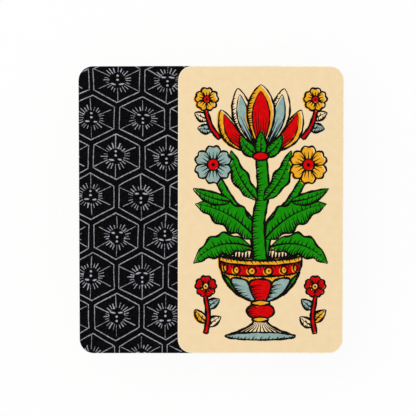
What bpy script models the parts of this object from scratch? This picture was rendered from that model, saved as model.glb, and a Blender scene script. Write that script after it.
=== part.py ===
"""Tarot card deck: a squared pile of loose printed cards with its top two cards slid apart.

Lengths are in metres and +Z is up. +Y runs along the cards and +X across them. The origin is on
the surface that the deck lies on, under the middle of the pile.
"""

import math

import bpy

# One card: a flat sheet of stiff paper with rounded corners
CARD_WIDTH = 0.0695
CARD_LENGTH = 0.1207
CARD_THICKNESS = 0.00031
CORNER_RADIUS = 0.0060
CORNER_STEPS = 6

# The pile: cards lie one on another with a film of air between them
AIR_GAP = 0.00002
TRUMP_CARDS = 22
PILE_CARDS = 54
SQUARING_ERROR = 0.0001
SQUARING_TURN = math.radians(137.5)

# The top two cards lie off the pile's middle, one to each side, their tops turned a little apart
FACE_DOWN_SLIDE = 0.0208
FACE_DOWN_TURN = math.radians(0.12)
FACE_UP_SLIDE = 0.0208
FACE_UP_TURN = math.radians(-0.12)

# Printed stock: linear colour and roughness
BACK_COLOUR = (0.0045, 0.0045, 0.0055, 1.0)
FACE_COLOUR = (0.896, 0.701, 0.413, 1.0)
STOCK_ROUGHNESS = 0.6

DECK_NAME = "tarot_card_deck"


def clear_scene():
    """Remove every object that the scene starts with."""
    for old in list(bpy.data.objects):
        bpy.data.objects.remove(old, do_unlink=True)


def stock_material(name, colour):
    """Return the finish of one printed side of the stock."""
    material = bpy.data.materials.new(name)
    material.use_nodes = True
    shader = material.node_tree.nodes["Principled BSDF"]
    shader.inputs["Base Color"].default_value = colour
    shader.inputs["Roughness"].default_value = STOCK_ROUGHNESS
    shader.inputs["Metallic"].default_value = 0.0
    return material


def card_outline():
    """Return the points of a card's outline, anticlockwise, with an arc at each corner."""
    across = CARD_WIDTH / 2 - CORNER_RADIUS
    along = CARD_LENGTH / 2 - CORNER_RADIUS
    corners = [(across, along), (-across, along), (-across, -along), (across, -along)]
    quarter = math.pi / 2
    points = []
    for number, (centre_x, centre_y) in enumerate(corners):
        for step in range(CORNER_STEPS + 1):
            angle = quarter * (number + step / CORNER_STEPS)
            x = centre_x + CORNER_RADIUS * math.cos(angle)
            y = centre_y + CORNER_RADIUS * math.sin(angle)
            points.append((x, y))
    return points


def sheet_curve(name, thickness, material):
    """Return a filled outline of a card, as thick as it is told, centred on its own origin."""
    points = card_outline()
    curve = bpy.data.curves.new(name, "CURVE")
    curve.dimensions = "2D"
    curve.fill_mode = "BOTH"
    curve.extrude = thickness / 2
    spline = curve.splines.new("POLY")
    spline.points.add(len(points) - 1)
    for point, (x, y) in zip(spline.points, points):
        point.co = (x, y, 0.0, 1.0)
    spline.use_cyclic_u = True
    curve.materials.append(material)
    return curve


def place(name, curve, location, deck, collection, turn=0.0):
    """Lay one piece of the deck with its middle at a point, turned about the upright."""
    piece = bpy.data.objects.new(name, curve)
    piece.location = location
    piece.rotation_euler = (0.0, 0.0, turn)
    piece.parent = deck
    collection.objects.link(piece)
    return piece


clear_scene()
deck_collection = bpy.data.collections.new(DECK_NAME)
bpy.context.scene.collection.children.link(deck_collection)
deck_origin = bpy.data.objects.new(DECK_NAME + "_origin", None)
deck_collection.objects.link(deck_origin)

printed_back = stock_material("printed_back", BACK_COLOUR)
printed_face = stock_material("printed_face", FACE_COLOUR)

# The trump cards lie together at the bottom, squared up as one packet
card_pitch = CARD_THICKNESS + AIR_GAP
packet_height = TRUMP_CARDS * card_pitch - AIR_GAP
packet_curve = sheet_curve("trump_packet", packet_height, printed_back)
place("trump_packet", packet_curve, (0.0, 0.0, packet_height / 2), deck_origin, deck_collection)

# The pile's own cards lie face down, each a little out of square
back_up_curve = sheet_curve("face_down_stock", CARD_THICKNESS, printed_back)
height = packet_height + AIR_GAP + CARD_THICKNESS / 2
for number in range(1, PILE_CARDS + 1):
    off_x = SQUARING_ERROR * math.cos(SQUARING_TURN * number)
    off_y = SQUARING_ERROR * math.sin(SQUARING_TURN * number)
    place(f"pile_card_{number:02d}", back_up_curve, (off_x, off_y, height), deck_origin, deck_collection)
    height += card_pitch

# One card is slid out to the left, and the card on top is turned over and slid to the right
left_place = (-FACE_DOWN_SLIDE, 0.0, height)
place("face_down_card", back_up_curve, left_place, deck_origin, deck_collection, FACE_DOWN_TURN)
height += card_pitch
right_place = (FACE_UP_SLIDE, 0.0, height)
face_up_curve = sheet_curve("face_up_stock", CARD_THICKNESS, printed_face)
place("face_up_card", face_up_curve, right_place, deck_origin, deck_collection, FACE_UP_TURN)
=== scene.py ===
import itertools
import math
import random

import bmesh
import bpy
import numpy as np
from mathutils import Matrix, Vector
from mathutils.geometry import delaunay_2d_cdt, interpolate_bezier


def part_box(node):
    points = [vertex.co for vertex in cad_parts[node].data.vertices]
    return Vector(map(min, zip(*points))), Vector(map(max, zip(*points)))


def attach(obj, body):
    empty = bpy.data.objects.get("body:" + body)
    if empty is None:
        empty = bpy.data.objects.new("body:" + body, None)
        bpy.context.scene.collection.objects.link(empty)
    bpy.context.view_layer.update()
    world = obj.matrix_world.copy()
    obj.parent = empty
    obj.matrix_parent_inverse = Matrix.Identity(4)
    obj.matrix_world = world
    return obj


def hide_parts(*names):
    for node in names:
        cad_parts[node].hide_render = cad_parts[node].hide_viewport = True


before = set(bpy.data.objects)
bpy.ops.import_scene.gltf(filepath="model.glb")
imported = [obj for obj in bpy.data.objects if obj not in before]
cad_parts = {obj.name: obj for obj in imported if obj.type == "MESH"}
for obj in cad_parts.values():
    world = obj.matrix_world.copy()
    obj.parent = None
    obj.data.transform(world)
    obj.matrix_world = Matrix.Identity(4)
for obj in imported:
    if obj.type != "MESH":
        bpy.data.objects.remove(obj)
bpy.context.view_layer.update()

# Camera and studio.
# The deck lies on a white table and is seen almost from straight above through a long lens, so that
# the two top cards hide the pile under them. Soft white light comes from all round and overhead.
PHOTO_PIXELS = 416
CARD_PIXELS = 287.2
PAIR_MIDDLE_PIXEL = (211.2, 210.0)
LENS_MM = 135.0
SENSOR_MM = 36.0
CAMERA_LEAN = math.radians(1.74)

top_low, top_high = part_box("face_up_card")
packet_low, packet_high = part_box("trump_packet")
card_width = packet_high.x - packet_low.x
card_length = packet_high.y - packet_low.y
card_thickness = top_high.z - top_low.z
pixel_size = card_length / CARD_PIXELS
frame_width = pixel_size * PHOTO_PIXELS
view_x = (PHOTO_PIXELS / 2 - PAIR_MIDDLE_PIXEL[0]) * pixel_size
view_y = (PAIR_MIDDLE_PIXEL[1] - PHOTO_PIXELS / 2) * pixel_size
camera_data = bpy.data.cameras.new("overhead_camera")
camera_data.lens = LENS_MM
camera_data.sensor_width = SENSOR_MM
camera = bpy.data.objects.new("overhead_camera", camera_data)
view_distance = frame_width * LENS_MM / SENSOR_MM
view_middle = Vector((view_x, view_y, top_high.z))
camera.location = view_middle + Vector((0.0, math.sin(CAMERA_LEAN), math.cos(CAMERA_LEAN))) * view_distance
camera.rotation_euler = (-CAMERA_LEAN, 0.0, 0.0)
bpy.context.scene.collection.objects.link(camera)
bpy.context.scene.camera = camera
bpy.context.scene.view_settings.view_transform = "Standard"

ROOM_LIGHT = 0.79
LAMP_WATTS = 3.0
LAMP_SIZE = 0.9
LAMP_PLACE = (-0.35, 0.30, 0.95)
TABLE_SIZE = 6.0
TABLE_WHITE = (0.96, 0.96, 0.96, 1.0)
TABLE_GLOW = 0.90


def seen_directly(tree):
    """Return a socket that is 1 for a ray from the camera, a mirror or glass, and else 0."""
    path = tree.nodes.new("ShaderNodeLightPath")
    seen = path.outputs["Is Camera Ray"]
    for name in ("Is Glossy Ray", "Is Transmission Ray"):
        either = tree.nodes.new("ShaderNodeMath")
        either.operation = "MAXIMUM"
        tree.links.new(seen, either.inputs[0])
        tree.links.new(path.outputs[name], either.inputs[1])
        seen = either.outputs[0]
    return seen


world = bpy.data.worlds.new("white_room")
world.use_nodes = True
bpy.context.scene.world = world
room = world.node_tree.nodes["Background"]
room.inputs["Color"].default_value = (1.0, 1.0, 1.0, 1.0)
room_level = world.node_tree.nodes.new("ShaderNodeMix")
room_level.inputs["A"].default_value = ROOM_LIGHT
room_level.inputs["B"].default_value = 1.0
world.node_tree.links.new(seen_directly(world.node_tree), room_level.inputs["Factor"])
world.node_tree.links.new(room_level.outputs["Result"], room.inputs["Strength"])

lamp_data = bpy.data.lights.new("overhead_softbox", "AREA")
lamp_data.energy = LAMP_WATTS
lamp_data.size = LAMP_SIZE
lamp = bpy.data.objects.new("overhead_softbox", lamp_data)
lamp.location = LAMP_PLACE
lamp.rotation_euler = (-Vector(LAMP_PLACE)).to_track_quat("-Z", "Y").to_euler()
bpy.context.scene.collection.objects.link(lamp)

bpy.ops.mesh.primitive_plane_add(size=TABLE_SIZE)
table = bpy.context.object
table.name = "white_table"
table_finish = bpy.data.materials.new("white_table_top")
table_finish.use_nodes = True
table_tree = table_finish.node_tree
table_paint = table_tree.nodes["Principled BSDF"]
table_paint.inputs["Base Color"].default_value = TABLE_WHITE
table_paint.inputs["Specular IOR Level"].default_value = 0.0
glow = table_tree.nodes.new("ShaderNodeEmission")
glow_share = table_tree.nodes.new("ShaderNodeMath")
glow_share.operation = "MULTIPLY"
glow_share.inputs[1].default_value = TABLE_GLOW
table_mix = table_tree.nodes.new("ShaderNodeMixShader")
table_tree.links.new(seen_directly(table_tree), glow_share.inputs[0])
table_tree.links.new(glow_share.outputs[0], table_mix.inputs[0])
table_tree.links.new(table_paint.outputs[0], table_mix.inputs[1])
table_tree.links.new(glow.outputs[0], table_mix.inputs[2])
table_tree.links.new(table_mix.outputs[0], table_tree.nodes["Material Output"].inputs["Surface"])
table.data.materials.append(table_finish)

# Trump packet.
# Twenty-two cards of stiff coated paper, printed on both sides and die-cut with round corners. They lie
# loose at the bottom of the pile, and only their edges, the top back and the lowest face ever show.
MM = 1000.0


class Field:
    """A number that varies over a card: the output of one node in the card's material."""

    def __init__(self, socket):
        self.socket = socket

    def __add__(self, other):
        return combine("ADD", self, other)

    def __radd__(self, other):
        return combine("ADD", self, other)

    def __sub__(self, other):
        return combine("SUBTRACT", self, other)

    def __rsub__(self, other):
        return combine("SUBTRACT", other, self)

    def __mul__(self, other):
        return combine("MULTIPLY", self, other)

    def __rmul__(self, other):
        return combine("MULTIPLY", self, other)

    def __truediv__(self, other):
        return combine("DIVIDE", self, other)

    def __rtruediv__(self, other):
        return combine("DIVIDE", other, self)

    def __abs__(self):
        return combine("ABSOLUTE", self)


def combine(operation, *terms):
    """Join fields and plain numbers with one Math node."""
    tree = next(term.socket.id_data for term in terms if isinstance(term, Field))
    node = tree.nodes.new("ShaderNodeMath")
    node.operation = operation
    for socket, term in zip(node.inputs, terms):
        if isinstance(term, Field):
            tree.links.new(term.socket, socket)
        else:
            socket.default_value = term
    return Field(node.outputs[0])


def least(*fields):
    """Return the lowest of several fields."""
    low = fields[0]
    for field in fields[1:]:
        low = combine("MINIMUM", low, field)
    return low


def most(*fields):
    """Return the highest of several fields."""
    high = fields[0]
    for field in fields[1:]:
        high = combine("MAXIMUM", high, field)
    return high


def choose(switch, when_off, when_on):
    """Return one field where a switch is 0 and another where it is 1."""
    return when_off + switch * (when_on - when_off)


def either_way(luck, reach):
    """Return a field that goes as far below 0 as above it, from one that goes from 0 to 1."""
    return (luck - 0.5) * reach


def distance_between(across, up):
    """Return the straight distance that two steps at right angles make."""
    return combine("SQRT", across * across + up * up)


def step_between(field, start, end):
    """Return a smooth step from 0 at one value of a field to 1 at another."""
    tree = field.socket.id_data
    node = tree.nodes.new("ShaderNodeMapRange")
    node.interpolation_type = "SMOOTHSTEP"
    node.inputs["From Min"].default_value = start
    node.inputs["From Max"].default_value = end
    tree.links.new(field.socket, node.inputs["Value"])
    return Field(node.outputs["Result"])


def as_vector(tree, *fields):
    """Return a vector socket made of three fields or plain numbers."""
    node = tree.nodes.new("ShaderNodeCombineXYZ")
    for socket, field in zip(node.inputs, fields):
        if isinstance(field, Field):
            tree.links.new(field.socket, socket)
        else:
            socket.default_value = field
    return node.outputs[0]


def three_parts(tree, socket):
    """Return the three parts of a vector or a colour as fields."""
    node = tree.nodes.new("ShaderNodeSeparateXYZ")
    tree.links.new(socket, node.inputs[0])
    return [Field(part) for part in node.outputs]


def place_on_card(tree):
    """Return a vector socket that gives the place in millimetres from the card's middle."""
    coordinates = tree.nodes.new("ShaderNodeTexCoord")
    scaled = tree.nodes.new("ShaderNodeVectorMath")
    scaled.operation = "SCALE"
    scaled.inputs["Scale"].default_value = MM
    tree.links.new(coordinates.outputs["Object"], scaled.inputs[0])
    return scaled.outputs[0]


def card_fact(tree, name):
    """Return a field that Blender knows of the card as an object, such as its number."""
    return Field(tree.nodes.new("ShaderNodeObjectInfo").outputs[name])


def cloud_node(tree, place, per_mm, detail):
    """Return a node of cloudy noise with so many clouds to the millimetre."""
    node = tree.nodes.new("ShaderNodeTexNoise")
    node.inputs["Scale"].default_value = per_mm
    node.inputs["Detail"].default_value = detail
    tree.links.new(place, node.inputs["Vector"])
    return node


def mottle(tree, place, per_mm, detail):
    """Return a cloudy field from about 0 to 1."""
    return Field(cloud_node(tree, place, per_mm, detail).outputs["Fac"])


def blotches(tree, place, grain):
    """Return soft blotches from a grain: its clouds, and the levels at which they start and end."""
    per_mm, detail, start, end = grain
    return step_between(mottle(tree, place, per_mm, detail), start, end)


def tint(tree, share, first, second):
    """Return a colour socket that goes from one colour or colour socket to another with a field."""
    node = tree.nodes.new("ShaderNodeMix")
    node.data_type = "RGBA"
    factor, colour_a, colour_b = node.inputs[0], node.inputs[6], node.inputs[7]
    tree.links.new(share.socket, factor)
    for socket, colour in ((colour_a, first), (colour_b, second)):
        if isinstance(colour, tuple):
            socket.default_value = (*colour, 1.0)
        else:
            tree.links.new(colour, socket)
    return node.outputs[2]


# The paper: matt, uneven in its gloss, and with a fine tooth
PAPER_SHINE = 0.025
LEAST_ROUGHNESS = 0.5
ROUGHNESS_SPREAD = 0.2
GLOSS_CLOUDS = (1.7, 3.0)
TOOTH_CLOUDS = (6.0, 3.0)
TOOTH_STRENGTH = 0.12
TOOTH_DEPTH = 0.00002
SHUFFLE_X = 1400.0
SHUFFLE_Y = 1800.0


class PaperFinish:
    """A finish of the paper under way: its node tree, and the place on the card in millimetres."""

    def __init__(self, name, shuffled=False):
        self.material = bpy.data.materials.new(name)
        self.material.use_nodes = True
        tree = self.tree = self.material.node_tree
        self.shader = tree.nodes["Principled BSDF"]
        self.shader.inputs["Specular IOR Level"].default_value = PAPER_SHINE
        self.place = place_on_card(tree)
        self.x, self.y, self.z = three_parts(tree, self.place)
        if shuffled:
            luck = card_fact(tree, "Random")
            self.x = self.x + luck * SHUFFLE_X
            self.y = self.y + luck * SHUFFLE_Y
            self.place = as_vector(tree, self.x, self.y, self.z)
        roughness = mottle(tree, self.place, *GLOSS_CLOUDS) * ROUGHNESS_SPREAD + LEAST_ROUGHNESS
        tree.links.new(roughness.socket, self.shader.inputs["Roughness"])
        tooth = tree.nodes.new("ShaderNodeBump")
        tooth.inputs["Strength"].default_value = TOOTH_STRENGTH
        tooth.inputs["Distance"].default_value = TOOTH_DEPTH
        tree.links.new(mottle(tree, self.place, *TOOTH_CLOUDS).socket, tooth.inputs["Height"])
        tree.links.new(tooth.outputs[0], self.shader.inputs["Normal"])

    def paint(self, colour):
        """Give the finish its colour and return it."""
        self.tree.links.new(colour, self.shader.inputs["Base Color"])
        return self.material


# The back's print: hexagons with a black band between them, each round a sun with a small face
PITCH_ACROSS = 21.1
PITCH_DOWN = 16.65
FIRST_SUN = (-19.0, 55.66)
PRINT_LEAN = 0.007
COLUMN_TAPER = -0.00046
ROW_SPREAD = 0.000375
ROW_FAN = 0.00045
WANDER_CLOUDS = (0.035, 2.0)
WANDER_REACH = 2.0
QUIVER_CLOUDS = (1.2, 2.0)
QUIVER_REACH = 0.30
HEX_HALF_WIDTH = 9.45
HEX_TOP = 9.84
HEX_SHOULDER = 4.72
HEX_SLOPE = (HEX_TOP - HEX_SHOULDER) / HEX_HALF_WIDTH
HEX_SQUARE = math.cos(math.atan(HEX_SLOPE))
HEX_LINE = 0.355
SIDE_SHIFT = 0.5
SIDE_LEAN = 0.06
SIDE_SEED = (5.0, 91.0)
RIGHT_SLOPES = 7.0
LEFT_SLOPES = 12.0
UPRIGHT_THINNING = 0.10
UPRIGHT_SIDE = (8.75, 9.05)


def chance(tree, cell, seed, number):
    """Return three random fields that change only with the hexagon and with a whole number."""
    column, row = cell
    node = tree.nodes.new("ShaderNodeTexWhiteNoise")
    node.noise_dimensions = "3D"
    draw = as_vector(tree, column * 2.0 + seed[0], row + seed[1], number)
    tree.links.new(draw, node.inputs["Vector"])
    return three_parts(tree, node.outputs["Color"])


def true_hexagon(across, up):
    """Return how far a point lies outside a hexagon's true outline, below 0 inside it."""
    side = abs(across) - HEX_HALF_WIDTH
    shoulder = (abs(up) + abs(across) * HEX_SLOPE - HEX_TOP) * HEX_SQUARE
    return most(side, shoulder)


def own_hexagon(across, up):
    """Return the column and the row of the hexagon that a point lies in."""
    column_a = combine("ROUND", across / PITCH_ACROSS)
    row_a = combine("ROUND", up / (2 * PITCH_DOWN)) * 2.0
    column_b = combine("FLOOR", across / PITCH_ACROSS) + 0.5
    row_b = combine("FLOOR", up / (2 * PITCH_DOWN)) * 2.0 + 1.0
    edge_a = true_hexagon(across - column_a * PITCH_ACROSS, up - row_a * PITCH_DOWN)
    edge_b = true_hexagon(across - column_b * PITCH_ACROSS, up - row_b * PITCH_DOWN)
    in_b = combine("LESS_THAN", edge_b, edge_a)
    return choose(in_b, column_a, column_b), choose(in_b, row_a, row_b)


def cut_side(tree, distance, from_middle, cell, number):
    """Return the distance to one side of a hexagon, moved and turned a little from its true place."""
    shift, lean, _ = chance(tree, cell, SIDE_SEED, number)
    return distance + either_way(shift, SIDE_SHIFT) + from_middle * either_way(lean, SIDE_LEAN)


def cut_hexagon(tree, across, up, cell):
    """Return how far a point lies outside the outline of one hexagon as it was cut in the block."""
    side = cut_side(tree, abs(across) - HEX_HALF_WIDTH, up, cell, combine("SIGN", across))
    half = combine("SIGN", up) * 2.0
    from_middle = abs(across) - HEX_HALF_WIDTH / 2
    right = (abs(up) + across * HEX_SLOPE - HEX_TOP) * HEX_SQUARE
    right = cut_side(tree, right, from_middle, cell, half + RIGHT_SLOPES)
    left = (abs(up) - across * HEX_SLOPE - HEX_TOP) * HEX_SQUARE
    left = cut_side(tree, left, from_middle, cell, half + LEFT_SLOPES)
    return most(side, right, left)


# A sun: short rays, six spokes that run on to the hexagon's corners, and a face of four marks
SUN_SHIFT = 0.8
SUN_SEED = (71.0, 13.0)
SUN_DRAW = 3.0
RAY_COUNT = 24
RAY_TURN = math.tau / RAY_COUNT
RAY_SQUEEZE = HEX_HALF_WIDTH * math.tan(math.radians(30)) / HEX_SHOULDER
RAY_SEED = (31.0, 57.0)
RAY_INNER = 3.45
RAY_INNER_SPREAD = 0.5
RAY_OUTER = 5.45
RAY_OUTER_SPREAD = 1.3
RAY_LINE = 0.28
RAY_LINE_SPREAD = 0.13
RAY_SWING = 0.3
SWING_SEED = (47.0, 29.0)
SPOKE_EVERY = 4
SPOKE_LINE = 0.28
SPOKE_LINE_SPREAD = 0.10
SPOKE_GAP = 0.1
SPOKE_SHORTFALL = 1.7
UPRIGHT_SPOKE = (0.5, 1.0)
JOINED_RAYS = 0.86
JOIN_HALF_WIDTH = 0.2
UPPER_ROWS = 4
EYE_SEED = (11.0, 23.0)
EYE_APART = 1.65
EYE_HEIGHT = 1.55
EYE_HEIGHT_SPREAD = 0.3
EYE_TILT = 0.5
EYE_SHORTEST = 0.75
EYE_STRETCH = 0.45
EYE_HALF = (0.95, 0.33)
NOSE_HEIGHT = -0.2
NOSE_HALF = (0.47, 0.45)
MOUTH_HEIGHT = -2.0
MOUTH_HALF = (0.48, 0.42)
NEAR_ENOUGH = 0.1


def sun_beams(tree, sun_x, sun_y, edge, cell):
    """Return how far a point lies outside a sun's rays and spokes."""
    radius = distance_between(sun_x, sun_y)
    turn = combine("ARCTAN2", sun_y * RAY_SQUEEZE, sun_x) / RAY_TURN
    ray = combine("ROUND", turn)
    long_luck, inner_luck, wide_luck = chance(tree, cell, RAY_SEED, ray)
    swing, _, _ = chance(tree, cell, SWING_SEED, ray)
    from_ray = abs(turn - ray - either_way(swing, RAY_SWING))
    sideways = combine("SINE", from_ray * RAY_TURN) * radius
    inner = RAY_INNER + either_way(inner_luck, RAY_INNER_SPREAD)
    outer = RAY_OUTER + either_way(long_luck, RAY_OUTER_SPREAD)
    ray_half = RAY_LINE / 2 + either_way(wide_luck, RAY_LINE_SPREAD)
    rays = most(sideways - ray_half, inner - radius, radius - outer)

    thinning = (step_between(abs(sun_x), *UPRIGHT_SPOKE) - 1.0) * UPRIGHT_THINNING / 2
    spoke_half = SPOKE_LINE / 2 + either_way(wide_luck, SPOKE_LINE_SPREAD) + thinning
    shortfall = edge + SPOKE_GAP + long_luck * long_luck * SPOKE_SHORTFALL
    spokes = most(sideways - spoke_half, inner - radius, shortfall)
    turns_past = combine("FLOORED_MODULO", ray, SPOKE_EVERY)
    is_spoke = combine("COMPARE", turns_past, SPOKE_EVERY / 2, NEAR_ENOUGH)
    joined = most(abs(radius - RAY_INNER) - JOIN_HALF_WIDTH, JOINED_RAYS - wide_luck)
    return least(choose(is_spoke, rays, spokes), joined)


def spot(across, up, half_size):
    """Return a distance that is below 0 inside an oval round the middle."""
    reach = distance_between(across / half_size[0], up / half_size[1])
    return (reach - 1.0) * min(half_size)


def sun_face(tree, sun_x, sun_y, cell):
    """Return how far a point lies outside a sun's eyes, nose and mouth, upside down in turn."""
    column, row = cell
    rows_down = row * -1.0
    lower_half = combine("GREATER_THAN", rows_down, UPPER_ROWS - 0.5)
    even_row = combine("LESS_THAN", combine("FLOORED_MODULO", rows_down, 2.0), 0.5)
    right_column = combine("FLOORED_MODULO", combine("FLOOR", column + 0.5), 2.0)
    upright = abs(right_column - lower_half * even_row)
    face_up = sun_y * (upright * 2.0 - 1.0)
    eye_long, eye_high, eye_tilt = chance(tree, cell, EYE_SEED, combine("SIGN", sun_x))
    from_eye = abs(sun_x) - EYE_APART
    eye_rise = face_up - EYE_HEIGHT - either_way(eye_high, EYE_HEIGHT_SPREAD)
    eye_rise = eye_rise - from_eye * either_way(eye_tilt, EYE_TILT)
    eyes = spot(from_eye / (EYE_SHORTEST + eye_long * EYE_STRETCH), eye_rise, EYE_HALF)
    nose = spot(sun_x, face_up - NOSE_HEIGHT, NOSE_HALF)
    mouth = spot(sun_x, face_up - MOUTH_HEIGHT, MOUTH_HALF)
    return least(eyes, nose, mouth)


# Its inks: grey lines that are thin in places, on a black that is rubbed
BACK_BLACK = (0.0004, 0.0004, 0.0007)
BACK_BLACK_WORN = (0.0052, 0.0050, 0.0056)
BACK_LINE_GREY = (0.42, 0.41, 0.46)
THIN_LINE_INK = 0.55
FULL_LINE_INK = 0.98
FULL_INK_GRAIN = (0.7, 4.0, 0.33, 0.58)
RUBBED_GRAIN = (1.6, 4.0, 0.40, 0.72)
RAGGED_CLOUDS = (2.4, 3.0)
BACK_RAGGEDNESS = 0.34
LINE_SOFTNESS = 0.07


def within(distance):
    """Return 1 where a distance is below 0 and 0 where it is above, with a soft edge."""
    return step_between(distance, LINE_SOFTNESS, -LINE_SOFTNESS)


def back_print(paper):
    """Return the colour socket of the printed back."""
    tree, place = paper.tree, paper.place
    leaning = (paper.x - paper.y * PRINT_LEAN, paper.y + paper.x * PRINT_LEAN)
    shaken = [lean - start for lean, start in zip(leaning, FIRST_SUN)]
    for clouds, reach in ((WANDER_CLOUDS, WANDER_REACH), (QUIVER_CLOUDS, QUIVER_REACH)):
        pushes = three_parts(tree, cloud_node(tree, place, *clouds).outputs["Color"])
        shaken = [start + either_way(push, reach) for start, push in zip(shaken, pushes)]
    across = shaken[0] * (paper.y * COLUMN_TAPER + 1.0)
    up = shaken[1] + paper.y * (paper.y * ROW_SPREAD + shaken[0] * ROW_FAN)

    cell = own_hexagon(across, up)
    off_x = across - cell[0] * PITCH_ACROSS
    off_y = up - cell[1] * PITCH_DOWN
    edge = cut_hexagon(tree, off_x, off_y, cell)
    on_upright = step_between(abs(off_x), *UPRIGHT_SIDE)
    outline = abs(edge) - HEX_LINE / 2 + on_upright * UPRIGHT_THINNING / 2
    luck_x, luck_y, _ = chance(tree, cell, SUN_SEED, SUN_DRAW)
    sun_x = off_x + either_way(luck_x, SUN_SHIFT)
    sun_y = off_y + either_way(luck_y, SUN_SHIFT)
    ragged = either_way(mottle(tree, place, *RAGGED_CLOUDS), BACK_RAGGEDNESS)
    lines = within(least(outline, sun_beams(tree, sun_x, sun_y, edge, cell)) + ragged)
    features = within(sun_face(tree, sun_x, sun_y, cell) + ragged)
    full_ink = blotches(tree, place, FULL_INK_GRAIN)
    line_ink = THIN_LINE_INK + full_ink * (FULL_LINE_INK - THIN_LINE_INK)
    black = tint(tree, blotches(tree, place, RUBBED_GRAIN), BACK_BLACK, BACK_BLACK_WORN)
    return tint(tree, most(lines * line_ink, features), black, BACK_LINE_GREY)


back_paper = PaperFinish("printed_back")
back_finish = back_paper.paint(back_print(back_paper))

# The cut edge: streaks that run along the card and differ from card to card
EDGE_PALE = (0.93, 0.87, 0.73)
EDGE_SHADE = (0.74, 0.66, 0.51)
EDGE_GRAIN = (1.0, 4.0, 0.30, 0.70)
STREAK_STRETCH = 0.05
STREAK_SLANT_X = 0.9
STREAK_SLANT_Y = 0.7
STREAK_LAYERS = 2.6
edge_paper = PaperFinish("cut_paper_edge", True)
streak_x = edge_paper.x * STREAK_STRETCH + edge_paper.z * STREAK_SLANT_X
streak_y = edge_paper.y * STREAK_STRETCH - edge_paper.z * STREAK_SLANT_Y
streak_place = as_vector(edge_paper.tree, streak_x, streak_y, edge_paper.z * STREAK_LAYERS)
edge_tone = blotches(edge_paper.tree, streak_place, EDGE_GRAIN)
edge_finish = edge_paper.paint(tint(edge_paper.tree, edge_tone, EDGE_SHADE, EDGE_PALE))

# The face's bare paper: cream, clouded and with rosy fibres
FACE_CREAM = (0.912, 0.722, 0.432)
FACE_CREAM_DARK = (0.880, 0.682, 0.392)
FACE_CREAM_ROSY = (0.905, 0.690, 0.440)
CLOUD_GRAIN = (0.30, 5.0, 0.32, 0.68)
FIBRE_GRAIN = (1.3, 4.0, 0.42, 0.66)


def cream_paper(paper):
    """Return the colour socket of the face where nothing is printed on it."""
    clouds = blotches(paper.tree, paper.place, CLOUD_GRAIN)
    fibres = blotches(paper.tree, paper.place, FIBRE_GRAIN)
    cream = tint(paper.tree, clouds, FACE_CREAM_DARK, FACE_CREAM)
    return tint(paper.tree, fibres, cream, FACE_CREAM_ROSY)


# The face's print where a card lies face down: one to ten round pips, or a large one in a ruled frame
INK_COLOURS = {
    "yellow": ((0.88, 0.45, 0.024), (0.82, 0.34, 0.013)),
    "blue": ((0.32, 0.46, 0.42), (0.24, 0.37, 0.34)),
    "green": ((0.010, 0.285, 0.003), (0.006, 0.215, 0.002)),
    "red": ((0.73, 0.002, 0.003), (0.56, 0.001, 0.002)),
    "black": ((0.0030, 0.0022, 0.0018), (0.0065, 0.0048, 0.0036)),
}
INK_GRAIN = (0.5, 5.0, 0.3, 0.7)
SUIT_INKS = (("blue", "red"), ("yellow", "red"), ("red", "yellow"), ("green", "yellow"), ("yellow", "blue"))
SUIT_CARDS = 14
PIP_CARDS = 10
TRUMP_SUIT = 4
SINGLE_FILE = 3
PIP_FIELD = 104.0
PIP_PITCH = 50.0
PIP_COLUMN = 15.5
PIP_SHARE = 0.42
PIP_MOST = (24.5, 14.0)
PIP_INK_SHIFT = (0.40, -0.35)
PIP_LINE = 0.9
PIP_RAGGEDNESS = 0.5
FEWEST_PETALS = 4
PETAL_REACH = 0.60
PETAL_WAVE = 0.16
HEART_REACH = 0.20
BAND_REACH = 0.86
VEIN_REACH = 0.50
VEIN_LINE = 0.7
BEAM_COUNT = 36
BEAM_REACH = (1.06, 1.21)
FRAME_HALF = (28.5, 54.0)
FRAME_LINES = ((0.0, 0.9), (1.6, 0.5))
FAR_AWAY = 99.0


def suit_ink(paper, suit, part):
    """Return the colour socket of the first or the second ink of a card's suit."""
    patches = blotches(paper.tree, paper.place, INK_GRAIN)
    inks = [tint(paper.tree, patches, *INK_COLOURS[pair[part]]) for pair in SUIT_INKS]
    colour = inks[0]
    for number, ink in enumerate(inks[1:], 1):
        is_suit = combine("COMPARE", suit, number, NEAR_ENOUGH)
        colour = tint(paper.tree, is_suit, colour, ink)
    return colour


def rosette(across, up, size, petals):
    """Return how far a point is from a pip's middle, its turn round it, and how far the petals reach."""
    turn = combine("ARCTAN2", up, across)
    reach = size * (combine("COSINE", turn * petals) * PETAL_WAVE + PETAL_REACH)
    return distance_between(across, up), turn, reach


def from_spoke(radius, turn, count):
    """Return how far a point lies outside the nearest of so many thin spokes."""
    return abs(combine("SINE", turn * count * 0.5)) * radius * 2.0 / count - VEIN_LINE / 2


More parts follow.
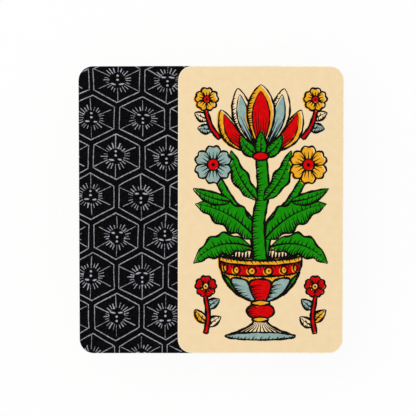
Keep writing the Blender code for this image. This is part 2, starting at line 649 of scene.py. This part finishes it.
def pip_print(paper):
    """Return the colour socket of a printed face, by the number that its card has in the deck."""
    number = card_fact(paper.tree, "Object Index")
    suit = combine("FLOOR", number / SUIT_CARDS)
    rank = combine("FLOORED_MODULO", number, SUIT_CARDS) + 1.0
    counted = combine("LESS_THAN", rank, PIP_CARDS + 0.5) * combine("LESS_THAN", suit, TRUMP_SUIT - 0.5)
    count = choose(counted, 1.0, rank)
    paired = combine("GREATER_THAN", count, SINGLE_FILE + 0.5)
    rows = combine("FLOOR", (count + paired) / (paired + 1.0))
    pitch = least(PIP_FIELD / rows, PIP_PITCH)
    middle_row = (rows - 1.0) * 0.5
    row = most(least(combine("ROUND", paper.y / pitch + middle_row), rows - 1.0), 0.0)
    odd_one = combine("LESS_THAN", row, 0.5) * combine("FLOORED_MODULO", count, 2.0)
    off_x = choose(most(1.0 - paired, odd_one), abs(paper.x) - PIP_COLUMN, paper.x)
    off_y = paper.y - (row - middle_row) * pitch
    size = least(pitch * PIP_SHARE, choose(paired, *PIP_MOST))

    petals = suit * 2.0 + FEWEST_PETALS
    heart = size * HEART_REACH
    band = size * BAND_REACH
    radius, turn, petal_edge = rosette(off_x, off_y, size, petals)
    edges = [abs(radius - edge) for edge in (size, band, petal_edge, heart)]
    rings = least(*edges) - PIP_LINE / 2
    veins = most(from_spoke(radius, turn, petals), heart - radius, radius - size * VEIN_REACH)
    beams = from_spoke(radius, turn, BEAM_COUNT)
    beams = most(beams, size * BEAM_REACH[0] - radius, radius - size * BEAM_REACH[1])
    frame_edge = most(abs(paper.x) - FRAME_HALF[0], abs(paper.y) - FRAME_HALF[1])
    ruled = [abs(frame_edge + inset) - width / 2 for inset, width in FRAME_LINES]
    framing = counted * FAR_AWAY + least(beams, *ruled)
    ragged = either_way(mottle(paper.tree, paper.place, *RAGGED_CLOUDS), PIP_RAGGEDNESS)
    lines = within(least(rings, veins, framing) + ragged)

    radius, turn, petal_edge = rosette(off_x - PIP_INK_SHIFT[0], off_y - PIP_INK_SHIFT[1], size, petals)
    in_petal = within(radius - petal_edge)
    in_band_or_heart = within(least(most(band - radius, radius - size), radius - heart))
    colour = tint(paper.tree, in_petal, cream_paper(paper), suit_ink(paper, suit, 0))
    colour = tint(paper.tree, in_band_or_heart, colour, suit_ink(paper, suit, 1))
    return tint(paper.tree, lines, colour, INK_COLOURS["black"][0])


pip_paper = PaperFinish("printed_pips")
pip_finish = pip_paper.paint(pip_print(pip_paper))

# The cards' shape: flat sheets whose edges the die has rolled over a little
CORNER_RADIUS = 0.0060
CORNER_STEPS = 12
ROLLED_EDGE = 0.00038
ROLLED_DEPTH = 0.00002
SHARP_ANGLE = math.radians(12)
UPPER_SLOT, EDGE_SLOT, LOWER_SLOT = range(3)


def card_ring(inset, height):
    """Return the points round a card's outline, drawn in by an inset, at one height."""
    radius = CORNER_RADIUS - inset
    centre_x = card_width / 2 - CORNER_RADIUS
    centre_y = card_length / 2 - CORNER_RADIUS
    ring = []
    for quarter, (side_x, side_y) in enumerate([(1, 1), (-1, 1), (-1, -1), (1, -1)]):
        for step in range(CORNER_STEPS + 1):
            angle = math.pi / 2 * (quarter + step / CORNER_STEPS)
            x = centre_x * side_x + radius * math.cos(angle)
            y = centre_y * side_y + radius * math.sin(angle)
            ring.append((x, y, height))
    return ring


def add_cards(body, middles, rim_slot=UPPER_SLOT):
    """Add a card, or a packet in one skin, to a mesh under way and return the ring round its open top."""
    half = card_thickness / 2
    cut_half = half - ROLLED_DEPTH
    levels = ((ROLLED_EDGE, -half), (0.0, -cut_half), (0.0, cut_half), (ROLLED_EDGE, half))
    rings = []
    for middle, (inset, height) in itertools.product(middles, levels):
        rings.append([body.verts.new(middle + Vector(point)) for point in card_ring(inset, height)])
    # In a packet, the band that closes the air gap between one card and the next takes the back print's
    # black as painted shade of the gap
    slots = itertools.cycle((LOWER_SLOT, EDGE_SLOT, rim_slot, UPPER_SLOT))
    for lower, upper, slot in zip(rings, rings[1:], slots):
        for number in range(len(lower)):
            after = (number + 1) % len(lower)
            side = body.faces.new((lower[number], lower[after], upper[after], upper[number]))
            side.material_index = slot
    body.faces.new(rings[0][::-1]).material_index = LOWER_SLOT
    return rings[-1]


def finished_mesh(name, body, finishes):
    """Turn a mesh under way into a mesh with smooth round corners and its finishes."""
    mesh = bpy.data.meshes.new(name)
    body.to_mesh(mesh)
    body.free()
    for finish in finishes:
        mesh.materials.append(finish)
    mesh.shade_smooth()
    mesh.set_sharp_from_angle(angle=SHARP_ANGLE)
    return mesh


def lay_piece(name, mesh, node, number=0, turn=0.0):
    """Put a numbered piece where a solid of the frame lies, turned as it is, and let it move with it."""
    low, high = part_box(node)
    piece = bpy.data.objects.new(name, mesh)
    piece.location = (low + high) / 2
    piece.rotation_euler = (0.0, 0.0, turn)
    piece.pass_index = number
    bpy.context.scene.collection.objects.link(piece)
    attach(piece, node)
    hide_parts(node)


# The packet: one skin over the edges of all its cards, with a map that spreads them out for a bake. The
# skin's bands across the air gaps between cards take the black back print as painted shade of the gaps
TRUMP_CARDS = 22
PACKET_SCATTER = 0.00012
GOLDEN_TURN = math.radians(137.5)
BAKE_MAP = "OFBake"
STRIPS_SHARE = 0.5
FACE_SHARE = 0.48
FACE_PLACES = {UPPER_SLOT: 0.25, LOWER_SLOT: 0.75}


def spread_packet(body):
    """Give a packet a map with its edges as long strips below and its two faces side by side above."""
    outline = [Vector(point) for point in card_ring(0.0, 0.0)]
    points = len(outline)
    steps = [(after - point).length for point, after in zip(outline, outline[1:] + outline[:1])]
    shares = [sum(steps[:number]) / sum(steps) for number in range(points + 1)]
    last_ring = len(body.verts) / points - 1
    bake_map = body.loops.layers.uv.new(BAKE_MAP)
    body.verts.index_update()
    for face in body.faces:
        numbers = [corner.vert.index % points for corner in face.loops]
        closes = points - 1 in numbers and 0 in numbers
        for corner, number in zip(face.loops, numbers):
            if len(numbers) == points:
                across = FACE_PLACES[face.material_index] + corner.vert.co.x / card_width * FACE_SHARE
                up = (1 + STRIPS_SHARE) / 2 + corner.vert.co.y / card_length * FACE_SHARE
            else:
                across = shares[points] if closes and number == 0 else shares[number]
                up = corner.vert.index // points / last_ring * STRIPS_SHARE
            corner[bake_map].uv = (across, up)


packet_height = packet_high.z - packet_low.z
packet_pitch = (packet_height - card_thickness) / (TRUMP_CARDS - 1)
packet_middles = []
for number in range(TRUMP_CARDS):
    lift = card_thickness / 2 - packet_height / 2 + number * packet_pitch
    turn = number * GOLDEN_TURN
    shift = Vector((math.cos(turn), math.sin(turn), 0.0)) * PACKET_SCATTER
    packet_middles.append(shift + Vector((0.0, 0.0, lift)))
packet_body = bmesh.new()
packet_body.faces.new(add_cards(packet_body, packet_middles))
spread_packet(packet_body)
back_up_finishes = [back_finish, edge_finish, pip_finish]
packet_mesh = finished_mesh("trump_cards", packet_body, back_up_finishes)
lay_piece("trump_cards", packet_mesh, "trump_packet", SUIT_CARDS * TRUMP_SUIT)

# Pile cards.
# The other suit cards lie face down on the trumps, all with the same printed back.
# Nothing holds them but their weight, so each is a little out of square with the next.
card_body = bmesh.new()
card_body.faces.new(add_cards(card_body, [Vector()]))
back_up_mesh = finished_mesh("back_up_card", card_body, back_up_finishes)
pile_nodes = sorted(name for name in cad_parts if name.startswith("pile_card_"))
for number, node in enumerate(pile_nodes, 1):
    lay_piece("printed_" + node, back_up_mesh, node, number)

# Face-down card.
# The last but one card of the pile, slid out to the left with its printed back up.
# It lies loose under the top card, and its top is turned a little to the left.
FACE_DOWN_TURN = math.radians(0.12)
lay_piece(
    "printed_face_down_card", back_up_mesh, "face_down_card",
    number=len(pile_nodes) + 1, turn=FACE_DOWN_TURN,
)

# Face-up card.
# The top card, turned over and slid to the right. Its cream paper is printed like a woodcut, with
# carved black lines and four flat colours that never quite meet them: a cup with a flowering plant.
PRINT_SEED = 7
POINT_PITCH = 0.75
CURVE_LEAST_STEPS = 2
CURVE_EASE = 6
HAND_TREMBLE = 0.042
OUTLINE_WIDTH = 0.94
SMALL_OUTLINE = OUTLINE_WIDTH * 0.8
LINE_TAPER = 0.3
FINE_END = 0.45
ROUND_END = 0.6
BLUNT_END = 0.8
LINE_SWELL = 0.2
SWELL_LENGTH = 9.0
LINE_ROUGHNESS = 0.07
HATCH_WIDTH = 0.78
HATCH_POINT = 0.12
HATCH_PITCH = 1.12
HATCH_PLACE = (0.35, 0.65)
HATCH_LENGTH = (0.85, 1.1)
HATCH_BOW = 0.07
SHORT_HATCH = 0.6
SHADE_SIDE = Vector((-1.0, -0.6))
INK_SHIFT = {"yellow": (-0.75, -0.30), "blue": (0.45, -0.35), "green": (0.42, 0.18), "red": (-0.20, 0.30)}

hand = random.Random(PRINT_SEED)
line_plate = []
colour_plate = []


def smooth_path(points):
    """Return closely spaced points on a smooth curve through a few given ones."""
    given = [Vector(point) for point in points]
    given = [given[0], *given, given[-1]]
    path = []
    for before, start, end, after in zip(given, given[1:], given[2:], given[3:]):
        steps = max(CURVE_LEAST_STEPS, round((end - start).length / POINT_PITCH))
        reach_out = start + (end - before) / CURVE_EASE
        reach_in = end - (after - start) / CURVE_EASE
        path += interpolate_bezier(start, reach_out, reach_in, end, steps + 1)[:-1]
    path.append(given[-1])
    return path


def along(path, share):
    """Return the point that lies a share of the way along a path."""
    place = min(max(share, 0.0), 1.0) * (len(path) - 1)
    before = min(int(place), len(path) - 2)
    return path[before].lerp(path[before + 1], place - before)


def tremble(point):
    """Move a point as little as a steady hand would."""
    return point + Vector((hand.gauss(0.0, HAND_TREMBLE), hand.gauss(0.0, HAND_TREMBLE)))


def both_sides(path, half_widths):
    """Return the left and the right side of a band along a path."""
    left, right = [], []
    last = len(path) - 1
    for number, (point, half) in enumerate(zip(path, half_widths)):
        heading = path[min(number + 1, last)] - path[max(number - 1, 0)]
        across = heading.orthogonal().normalized()
        left.append(point + across * half)
        right.append(point - across * half)
    return left, right


def carve(points, width=OUTLINE_WIDTH, ends=FINE_END):
    """Draw one black line that swells along its middle and thins out at its ends."""
    path = [tremble(point) for point in smooth_path(points)]
    last = len(path) - 1
    phase = hand.random()
    half_widths = []
    for number in range(last + 1):
        share = number / last
        opening = ends + (1 - ends) * share / LINE_TAPER
        closing = ends + (1 - ends) * (1 - share) / LINE_TAPER
        swell = 1.0 + LINE_SWELL * math.sin(math.tau * (phase + number * POINT_PITCH / SWELL_LENGTH))
        swell += hand.uniform(-LINE_ROUGHNESS, LINE_ROUGHNESS)
        half_widths.append(width / 2 * min(1.0, opening, closing) * swell)
    left, right = both_sides(path, half_widths)
    line_plate.append((True, left + right[::-1]))


def hatch(points, width=HATCH_WIDTH):
    """Draw one short black line that starts broad and runs out to a point."""
    path = [tremble(point) for point in smooth_path(points)]
    last = len(path) - 1
    half_widths = [width / 2 * (1 - (1 - HATCH_POINT) * number / last) for number in range(last + 1)]
    left, right = both_sides(path, half_widths)
    line_plate.append((True, left + right[::-1]))


def shade(edge, inside, reach, first=0.06, last=0.94, ahead=1.2, pitch=HATCH_PITCH):
    """Hatch an edge with lines that run part of the way to another line, long and short in turn."""
    length = sum((end - start).length for start, end in zip(edge, edge[1:]))
    count = max(2, round(length * (last - first) / pitch))
    for number in range(count):
        share = first + (last - first) * (number + hand.uniform(*HATCH_PLACE)) / count
        start = along(edge, share)
        goal = along(inside, share + ahead / length)
        depth = reach if number % 2 else reach * SHORT_HATCH
        end = start.lerp(goal, depth * hand.uniform(*HATCH_LENGTH))
        bow = (end - start).orthogonal() * HATCH_BOW
        hatch([start, start.lerp(end, 0.5) + bow, end])


def lay_shape(outline, ink=None):
    """Clear a shape out of the lines drawn so far, and colour it or leave it bare."""
    line_plate.append((False, outline))
    if ink:
        outline = [tremble(point + Vector(INK_SHIFT[ink])) for point in outline]
    colour_plate.append((ink, outline))


BLADE_LEAST_STEPS = 10
LOBE_DEPTH = 0.14
LEAF_BELLY = 0.85
LEAF_FULLNESS = 0.8
LEAF_SHADE = 0.85
LEAF_VEIN = 0.62
LEAF_VEIN_PITCH = HATCH_PITCH * 1.7
PETAL_BELLY = 1.25
PETAL_FULLNESS = 0.7
PETAL_SHADE = 0.5
PETAL_SHADE_SPAN = (0.35, 0.95)
PETAL_HATCH_FOOT = 0.1
PETAL_HATCH_TOP = (0.45, 0.65)
PETAL_HATCH_INSET = 0.12
HEART_LENGTH = 0.9
HEART_WIDTH = 0.64
HEART_OUTLINE = OUTLINE_WIDTH * 0.7


def blade(base, tip, width, sag, belly, fullness, lobes=0):
    """Return the rib and both sides of a long leaf or petal."""
    base, tip = Vector(base), Vector(tip)
    length = tip - base
    across = length.orthogonal().normalized()
    steps = max(BLADE_LEAST_STEPS, round(length.length / POINT_PITCH))
    rib, left, right = [], [], []
    for step in range(steps + 1):
        share = step / steps
        middle = base + length * share + across * sag * 4 * share * (1 - share)
        half = 0.0
        if 0 < step < steps:
            half = width / 2 * math.sin(math.pi * share ** belly) ** fullness
        if lobes:
            half *= 1.0 - LOBE_DEPTH * math.cos(math.tau * lobes * share)
        rib.append(middle)
        left.append(middle + across * half)
        right.append(middle - across * half)
    return rib, left, right


def dark_side_first(rib, left, right):
    """Return the two sides of a blade, with the one away from the light first."""
    outward = along(left, 0.5) - along(rib, 0.5)
    return (left, right) if outward.dot(SHADE_SIDE) > 0 else (right, left)


def leaf(base, tip, width, sag, ink, lobes=0):
    """Draw a leaf with its midrib, veins on its light half and hatching on its dark one."""
    rib, left, right = blade(base, tip, width, sag, LEAF_BELLY, LEAF_FULLNESS, lobes)
    dark, light = dark_side_first(rib, left, right)
    lay_shape(left + right[-2:0:-1], ink)
    shade(dark, rib, LEAF_SHADE)
    shade(rib, light, LEAF_VEIN, pitch=LEAF_VEIN_PITCH)
    hatch(rib[:-1], OUTLINE_WIDTH)
    carve(left)
    carve(right)


def petal(base, tip, width, sag, ink, heart_ink, hatches=5):
    """Draw a long petal with a heart of another colour, hatched at its foot and one side."""
    rib, left, right = blade(base, tip, width, sag, PETAL_BELLY, PETAL_FULLNESS)
    dark, _ = dark_side_first(rib, left, right)
    lay_shape(left + right[-2:0:-1], ink)
    heart_tip = Vector(base).lerp(Vector(tip), HEART_LENGTH)
    heart_sizes = (width * HEART_WIDTH, sag * HEART_LENGTH)
    _, heart_left, heart_right = blade(base, heart_tip, *heart_sizes, PETAL_BELLY, LEAF_FULLNESS)
    shift = Vector(INK_SHIFT[heart_ink])
    colour_plate.append((heart_ink, [point + shift for point in heart_left + heart_right[-2:0:-1]]))
    carve(heart_left, HEART_OUTLINE)
    carve(heart_right, HEART_OUTLINE)
    for number in range(hatches):
        spread = (number + 0.5) / hatches
        top = hand.uniform(*PETAL_HATCH_TOP)
        start = along(left, PETAL_HATCH_FOOT).lerp(along(right, PETAL_HATCH_FOOT), spread)
        inset = PETAL_HATCH_INSET + (1 - 2 * PETAL_HATCH_INSET) * spread
        hatch([start, along(left, top).lerp(along(right, top), inset)])
    shade(dark, rib, PETAL_SHADE, *PETAL_SHADE_SPAN)
    carve(left)
    carve(right)


OVAL_LEAST_STEPS = 8
LEFT_ROUND = (70.0, 260.0)
RIGHT_ROUND = (250.0, 440.0)


def oval(middle, half_width, half_height, first=0.0, last=360.0):
    """Return points on an oval from one angle to another, in degrees."""
    length = math.radians(last - first) * (half_width + half_height) / 2
    steps = max(OVAL_LEAST_STEPS, round(length / POINT_PITCH))
    points = []
    for step in range(steps + 1):
        angle = math.radians(first + (last - first) * step / steps)
        reach = Vector((half_width * math.cos(angle), half_height * math.sin(angle)))
        points.append(Vector(middle) + reach)
    return points


def draw_oval(middle, half_width, half_height, ink=None, width=OUTLINE_WIDTH):
    """Draw a whole oval as two half rounds that overlap."""
    lay_shape(oval(middle, half_width, half_height)[:-1], ink)
    carve(oval(middle, half_width, half_height, *LEFT_ROUND), width, ROUND_END)
    carve(oval(middle, half_width, half_height, *RIGHT_ROUND), width, ROUND_END)


def dot(middle, radius):
    """Draw a solid black dot."""
    line_plate.append((True, oval(middle, radius, radius)[:-1]))


BLOSSOM_HALF_PETAL = ((0.2, 0.2), (0.66, 0.64), (0.95, 0.36))
BLOSSOM_NOTCH = 0.90
BLOSSOM_OUTLINE = OUTLINE_WIDTH * 0.85
BLOSSOM_HATCHES = (-0.22, 0.0, 0.22)
BLOSSOM_HATCH_SPAN = (0.25, 0.68)
BLOSSOM_HATCH_FAN = 1.7
BLOSSOM_HEART = 0.3
BLOSSOM_DOT = 0.1


def blossom(middle, radius, petals, ink, heart_ink):
    """Draw an open flower with round petals, the first of them on top, and a dotted heart."""
    middle = Vector(middle)
    spread = math.tan(math.pi / petals)
    for number in range(petals):
        facing = math.radians(90.0 + 360.0 * number / petals)
        out = Vector((math.cos(facing), math.sin(facing))) * radius
        side = out.orthogonal() * spread
        rising = [middle + out * far + side * wide for far, wide in BLOSSOM_HALF_PETAL]
        falling = [middle + out * far - side * wide for far, wide in reversed(BLOSSOM_HALF_PETAL)]
        outline = smooth_path([*rising, middle + out * BLOSSOM_NOTCH, *falling])
        lay_shape(outline, ink)
        carve(outline, BLOSSOM_OUTLINE)
        for lean in BLOSSOM_HATCHES:
            foot = middle + out * BLOSSOM_HATCH_SPAN[0] + side * lean
            hatch([foot, middle + out * BLOSSOM_HATCH_SPAN[1] + side * lean * BLOSSOM_HATCH_FAN])
    draw_oval(middle, radius * BLOSSOM_HEART, radius * BLOSSOM_HEART, heart_ink, SMALL_OUTLINE)
    dot(middle, radius * BLOSSOM_DOT)


def stem(points, first_width, last_width, ink, reach=0.55):
    """Draw a stem with two outlines, hatched from its left side."""
    path = smooth_path(points)
    last = len(path) - 1
    growth = (last_width - first_width) / last
    half_widths = [(first_width + growth * number) / 2 for number in range(last + 1)]
    left, right = both_sides(path, half_widths)
    lay_shape(left + right[::-1], ink)
    shade(left, right, reach, 0.0, 1.0)
    carve(left, ends=BLUNT_END)
    carve(right, ends=BLUNT_END)
    carve([left[0], right[0]], SMALL_OUTLINE, 1.0)


TWIG_WIDTHS = (1.8, 1.4)
TWIG_SHADE = 0.4
TWIG_LEAF_WIDTH = 3.8
TWIG_LEAF_SAG = 0.3


def twig(points, leaves):
    """Draw a thin red twig with small leaves."""
    for base, tip, ink in leaves:
        leaf(base, tip, TWIG_LEAF_WIDTH, TWIG_LEAF_SAG, ink)
    stem(points, *TWIG_WIDTHS, "red", TWIG_SHADE)


# The cup's mouth and the plant that grows from it, in millimetres from the card's middle
RIM_HEIGHT = -18.6
RIM_HALF_WIDTH = 17.4
RIM_SAG = 2.7
RIM_LIP_WIDTH = 2.0
RIM_LIP_SAG = 0.9
REEDS_EACH_SIDE = 10
REED_PITCH = 1.4
REED_LEAN = 0.3
REED_HALF_HEIGHT = 1.8
REED_WIDTH = HATCH_WIDTH * 1.9
draw_oval((0.0, RIM_HEIGHT), RIM_HALF_WIDTH, RIM_SAG, "yellow")
draw_oval((0.0, RIM_HEIGHT), RIM_HALF_WIDTH - RIM_LIP_WIDTH, RIM_SAG - RIM_LIP_SAG)
for number in range(-REEDS_EACH_SIDE, REEDS_EACH_SIDE + 1):
    reed = number * REED_PITCH
    reed_top = (reed + REED_LEAN, RIM_HEIGHT + REED_HALF_HEIGHT)
    hatch([(reed, RIM_HEIGHT - REED_HALF_HEIGHT), reed_top], REED_WIDTH)
for side in (-1, 1):
    side_stem = [(1.2 * side, -22.0), (4.0 * side, -6.0), (12.0 * side, 3.0), (18.6 * side, 14.0)]
    stem(side_stem, 3.6, 2.8, "green")
    leaf((2.0 * side, -12.0), (27.5 * side, 2.5), 11.0, 3.0 * side, "green", 4)
    leaf((12.5 * side, 3.6), (28.4 * side, 9.0), 5.0, -1.2 * side, "green")
stem([(0.0, -22.5), (-1.0, -6.0), (1.0, 8.0), (0.0, 24.0)], 5.6, 4.4, "green")
for side, ink in ((-1, "blue"), (1, "yellow")):
    leaf((1.2 * side, 4.0), (12.6 * side, 25.0), 6.4, -2.0 * side, "green", 3)
    blossom((20.0 * side, 19.0), 8.2, 6, ink, "red")

# The great bloom on top
for side in (-1, 1):
    petal((1.0 * side, 24.0), (17.0 * side, 42.0), 8.0, -3.2 * side, "yellow", "red")
    petal((1.0 * side, 25.0), (9.8 * side, 51.0), 8.4, -1.6 * side, None, "blue")
petal((0.0, 25.0), (0.0, 52.6), 11.5, 0.0, "yellow", "red", 7)
for side in (-1, 1):
    leaf((0.0, 22.5), (8.8 * side, 31.5), 5.2, -1.6 * side, "green")
leaf((0.0, 22.0), (0.0, 33.0), 5.0, 0.0, "green")
draw_oval((0.0, 22.6), 3.4, 1.7, "red")

# The cup's bowl, with a studded band and five gadroons
BAND_TOP = -20.8
BAND_BOTTOM = -25.4
FRONT_TURNS = range(-90, 91, 6)
STUD_TURNS = range(-60, 61, 24)
STUD_HALF_WIDTH = 1.75
STUD_HALF_HEIGHT = 1.55
STUD_DOT = 0.45
GADROONS = ("green", "blue", "red", "blue", "green")
GADROON_TURN = 180.0 / len(GADROONS)
GADROON_HEIGHTS = (-37.6, -35.0, -32.0, -29.6)
GADROON_SHOULDER = -27.4
GADROON_ROUNDING = 4.0
GADROON_TIP = -26.6
GADROON_HATCH_PITCH = HATCH_PITCH * 0.85
GADROON_END = 0.5
RIM_OUTLINE = OUTLINE_WIDTH * 1.1
BOWL_OUTLINE = OUTLINE_WIDTH * 1.2
bowl_side = smooth_path([(17.4, RIM_HEIGHT), (17.0, -23.5), (14.6, -30.0), (9.6, -35.6), (2.7, -38.8)])


def mirrored(path):
    """Return a path on the other side of the card's middle."""
    return [Vector((-point.x, point.y)) for point in path]


def bowl_width(height):
    """Return the bowl's half width at a height."""
    return min(bowl_side, key=lambda point: abs(point.y - height)).x


def bowl_point(height, turn):
    """Return the point at a height and so many degrees round from the middle of the bowl's front."""
    sag = RIM_SAG * bowl_width(height) / RIM_HALF_WIDTH
    angle = math.radians(turn)
    return Vector((bowl_width(height) * math.sin(angle), height - sag * math.cos(angle)))


def bowl_ring(height):
    """Return the front half of a ring round the bowl, from left to right."""
    return [bowl_point(height, turn) for turn in FRONT_TURNS]


lay_shape(bowl_ring(RIM_HEIGHT) + bowl_side[1:] + mirrored(bowl_side)[:0:-1], "yellow")
lay_shape(bowl_ring(BAND_TOP) + bowl_ring(BAND_BOTTOM)[::-1], "red")
shade(bowl_ring(RIM_HEIGHT), bowl_ring(BAND_TOP), 0.8)
shade(bowl_ring(BAND_TOP), bowl_ring(BAND_BOTTOM), 0.5)
shade(bowl_ring(BAND_BOTTOM), bowl_ring(GADROON_TIP), 1.0)
carve(bowl_ring(BAND_TOP))
carve(bowl_ring(BAND_BOTTOM))
for turn in STUD_TURNS:
    stud = bowl_point((BAND_TOP + BAND_BOTTOM) / 2, turn)
    flat = math.cos(math.radians(turn))
    draw_oval(stud, STUD_HALF_WIDTH * flat, STUD_HALF_HEIGHT, "yellow", SMALL_OUTLINE)
    dot(stud, STUD_DOT * flat)
for number, ink in enumerate(GADROONS):
    first = -90.0 + GADROON_TURN * number
    last = first + GADROON_TURN
    left = [bowl_point(height, first) for height in GADROON_HEIGHTS]
    right = [bowl_point(height, last) for height in GADROON_HEIGHTS]
    left_shoulder = bowl_point(GADROON_SHOULDER, first + GADROON_ROUNDING)
    right_shoulder = bowl_point(GADROON_SHOULDER, last - GADROON_ROUNDING)
    tip = bowl_point(GADROON_TIP, (first + last) / 2)
    outline = smooth_path([*left, left_shoulder, tip, right_shoulder, *right[::-1]])
    lay_shape(outline, ink)
    shade(smooth_path(left), smooth_path(right), 0.6, 0.0, 1.0, pitch=GADROON_HATCH_PITCH)
    carve(outline, ends=GADROON_END)
carve(bowl_ring(RIM_HEIGHT), RIM_OUTLINE, BLUNT_END)
carve(bowl_side, BOWL_OUTLINE, BLUNT_END)
carve(mirrored(bowl_side), BOWL_OUTLINE, BLUNT_END)

# The cup's foot, its plate and its knop between two rings
FLUTES_EACH_SIDE = 5
FLUTE_SPREAD = 5.5
PLATE = ((0.0, -53.2), 14.6, 1.6)
KNOP = ((0.0, -42.6), 5.8, 3.4)
KNOP_SHINE = ((0.0, -42.6), 1.0, 0.6)
foot_side = smooth_path([(2.4, -45.6), (3.6, -48.0), (7.6, -50.4), (12.6, -52.2)])
lay_shape(foot_side + mirrored(foot_side)[::-1])
for number in range(-FLUTES_EACH_SIDE, FLUTES_EACH_SIDE + 1):
    share = number / FLUTE_SPREAD
    hatch([(share * 11.5, -52.0), (share * 5.0, -49.2), (share * 2.6, -46.8)])
carve(foot_side, ends=BLUNT_END)
carve(mirrored(foot_side), ends=BLUNT_END)
draw_oval(*PLATE, "blue")
shade(oval(*PLATE, 180.0, 360.0), oval(*PLATE, 180.0, 0.0), 0.5)
draw_oval(*KNOP, "red")
shade(oval(*KNOP, 100.0, 300.0), oval(*KNOP_SHINE, 100.0, 300.0), 0.75)
draw_oval((0.0, -39.2), 3.9, 1.1, "yellow")
draw_oval((0.0, -46.1), 3.3, 1.0, "yellow")

# Leaves that hang over the rim, and sprigs in the four corners
for side in (-1, 1):
    leaf((4.0 * side, -15.6), (28.2 * side, -22.5), 9.0, 4.4 * side, "green", 4)
    twig([(23.0 * side, -52.0), (22.0 * side, -45.0), (23.2 * side, -36.0)], [
        ((22.4 * side, -47.5), (27.6 * side, -42.0), "yellow"),
        ((22.2 * side, -49.0), (16.6 * side, -45.0), None),
        ((22.6 * side, -41.5), (17.2 * side, -37.6), "blue"),
    ])
    blossom((23.0 * side, -32.2), 4.6, 5, "red", "yellow")
    twig([(17.4 * side, 30.0), (21.0 * side, 35.0), (23.2 * side, 42.0)], [
        ((20.4 * side, 34.0), (26.6 * side, 34.4), "blue"),
        ((22.0 * side, 38.0), (27.8 * side, 40.8), None),
    ])
    blossom((22.8 * side, 46.4), 5.0, 5, "yellow", "red")

# The print as faces of the card's mesh: each plate in the order it was drawn, the lines on top
JOIN_DISTANCE = 1e-5
INK_SLOTS = {None: UPPER_SLOT}
for ink in INK_COLOURS:
    INK_SLOTS[ink] = LOWER_SLOT + len(INK_SLOTS)


def flat_places(corners):
    """Return many points as one array."""
    return np.array([corner[:] for corner in corners])


def covered(shape, spots):
    """Return the numbers of those of many spots that lie inside a shape."""
    corners = flat_places(shape)
    near = np.all((spots > corners.min(axis=0)) & (spots < corners.max(axis=0)), axis=1)
    numbers = np.nonzero(near)[0]
    across, up = spots[numbers].T
    inside = np.zeros(len(numbers), dtype=bool)
    for start, end in zip(corners, np.roll(corners, -1, axis=0)):
        if start[1] != end[1]:
            level = (start[1] > up) != (end[1] > up)
            crossing = start[0] + (up - start[1]) * (end[0] - start[0]) / (end[1] - start[1])
            inside ^= level & (across < crossing)
    return numbers[inside]


def cut_faces(points, borders):
    """Return the corners and triangles that follow all borders, and the finish of each triangle."""
    cut = delaunay_2d_cdt(points, borders, [], 0, JOIN_DISTANCE)
    corners, faces = cut[0], cut[2]
    spots = flat_places(corners)[np.array(faces)].mean(axis=1)
    slots = np.full(len(faces), UPPER_SLOT)
    inked = np.zeros(len(faces), dtype=bool)
    for ink, shape in colour_plate:
        slots[covered(shape, spots)] = INK_SLOTS[ink]
    for printed, shape in line_plate:
        inked[covered(shape, spots)] = printed
    slots[inked] = INK_SLOTS["black"]
    return corners, faces, slots


def ink_borders(faces, slots):
    """Return the edges where two inks meet or the card ends."""
    touching = {}
    for face, slot in zip(faces, slots):
        for edge in zip(face, [*face[1:], face[0]]):
            touching.setdefault(tuple(sorted(edge)), []).append(slot)
    return [edge for edge, inks in touching.items() if len(inks) == 1 or inks[0] != inks[1]]


def lay_print(body, ring):
    """Fill a card's top with faces that follow every printed shape, each in its own ink."""
    shapes = [[Vector((vert.co.x, vert.co.y)) * MM for vert in ring]]
    shapes += [shape for _, shape in line_plate + colour_plate]
    points, borders = [], []
    for shape in shapes:
        numbers = range(len(points), len(points) + len(shape))
        borders += zip(numbers, [*numbers[1:], numbers[0]])
        points += shape
    corners, faces, slots = cut_faces(points, borders)
    kept = ink_borders(faces, slots)
    used = sorted({number for edge in kept for number in edge})
    order = {number: place for place, number in enumerate(used)}
    points = [corners[number] for number in used]
    borders = [(order[start], order[end]) for start, end in kept]
    corners, faces, slots = cut_faces(points, borders)
    places = flat_places(corners)
    verts = [None] * len(corners)
    for vert in ring:
        apart = places - (vert.co.x * MM, vert.co.y * MM)
        verts[np.argmin(np.hypot(*apart.T))] = vert
    for number, corner in enumerate(corners):
        if verts[number] is None:
            verts[number] = body.verts.new((corner.x / MM, corner.y / MM, ring[0].co.z))
    for face, slot in zip(faces, slots):
        body.faces.new([verts[number] for number in face]).material_index = int(slot)


# Its finishes: bare cream, one finish for each ink, and a rim painted pale, partly as wear from handling
# and partly as a painted highlight along the rolled edge
RIM_WORN_AND_HIGHLIT = (0.97, 0.85, 0.62)
RIM_GRAIN = (1.1, 4.0, 0.34, 0.52)
FACE_UP_TURN = math.radians(-0.12)
face_paper = PaperFinish("cream_face")
face_up_finishes = [face_paper.paint(cream_paper(face_paper)), edge_finish, back_finish]
for ink, (thin, thick) in INK_COLOURS.items():
    ink_paper = PaperFinish(ink + "_ink")
    patches = blotches(ink_paper.tree, ink_paper.place, INK_GRAIN)
    face_up_finishes.append(ink_paper.paint(tint(ink_paper.tree, patches, thin, thick)))
rim_slot = len(face_up_finishes)
# The rim's pale colour is part wear, part a painted highlight where light catches the rolled edge
rim_paper = PaperFinish("worn_and_highlit_rim")
scuffs_and_highlight = blotches(rim_paper.tree, rim_paper.place, RIM_GRAIN)
face_up_finishes.append(rim_paper.paint(tint(rim_paper.tree, scuffs_and_highlight, FACE_CREAM, RIM_WORN_AND_HIGHLIT)))
face_body = bmesh.new()
lay_print(face_body, add_cards(face_body, [Vector()], rim_slot))
face_mesh = finished_mesh("face_up_card", face_body, face_up_finishes)
lay_piece("printed_face_up_card", face_mesh, "face_up_card", turn=FACE_UP_TURN)
